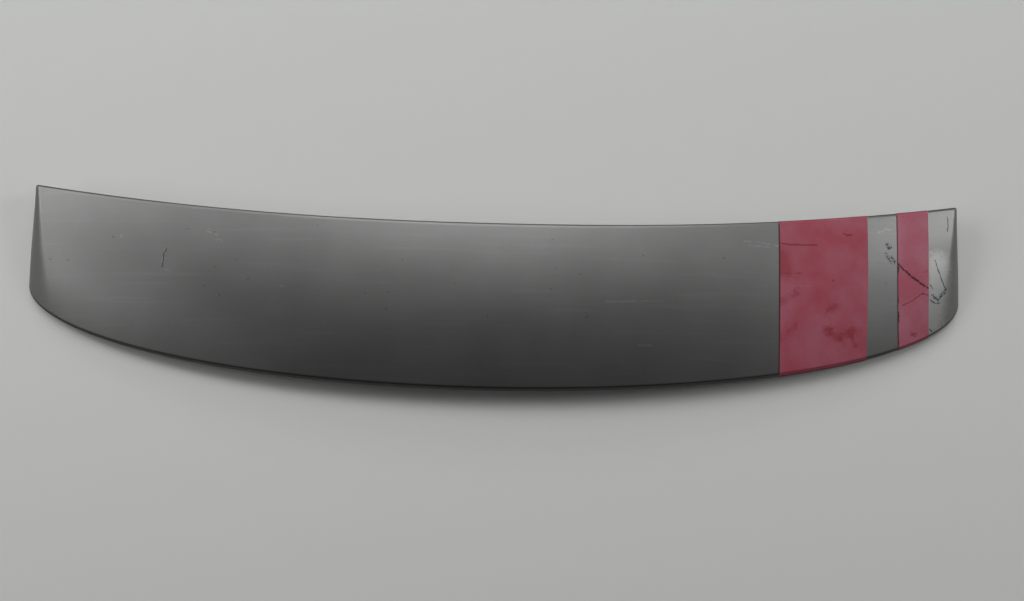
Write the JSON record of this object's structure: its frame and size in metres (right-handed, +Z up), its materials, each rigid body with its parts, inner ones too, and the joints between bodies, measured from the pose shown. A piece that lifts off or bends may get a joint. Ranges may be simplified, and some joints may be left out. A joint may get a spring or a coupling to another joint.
{
  "type": "rear roof spoiler",
  "caption": "Curved rear roof spoiler for a small hatchback: satin grey outer skin with red film stripes at one end, over a ribbed inner panel with threaded studs, clips and seals.",
  "frame": {"origin": "under the middle of the part, on the plane of the two end rims that it rests on", "axes": "+X across the car towards the striped end, +Y forward to the leading edge, +Z up"},
  "size_m": [1.12, 0.23, 0.0748],
  "materials": {
    "grey_paint": "satin metallic paint on moulded plastic, worn and scratched",
    "black_plastic": "moulded, fine grain",
    "red_film": "self-adhesive film, hazed and scuffed",
    "zinc_steel": "zinc plated",
    "spring_steel": "phosphated spring steel",
    "foam": "closed-cell foam rubber",
    "nylon": "natural nylon",
    "peg_plastic": "moulded acetal",
    "black_rubber": "moulded rubber",
    "tape": "foam-backed adhesive tape"
  },
  "bodies": {
    "root": {"upper_shell": "grey_paint", "lower_shell": "black_plastic", "wide_stripe": "red_film", "narrow_stripe": "red_film", "mounting_studs": "zinc_steel", "stud_retainers": "spring_steel", "stud_seals": "foam", "push_clips": "nylon", "locating_pegs": "peg_plastic", "rubber_stops": "black_rubber", "front_seal": "foam", "left_tape": "tape", "right_tape": "tape", "left_end_pad": "foam", "right_end_pad": "foam"}
  },
  "joints": []
}
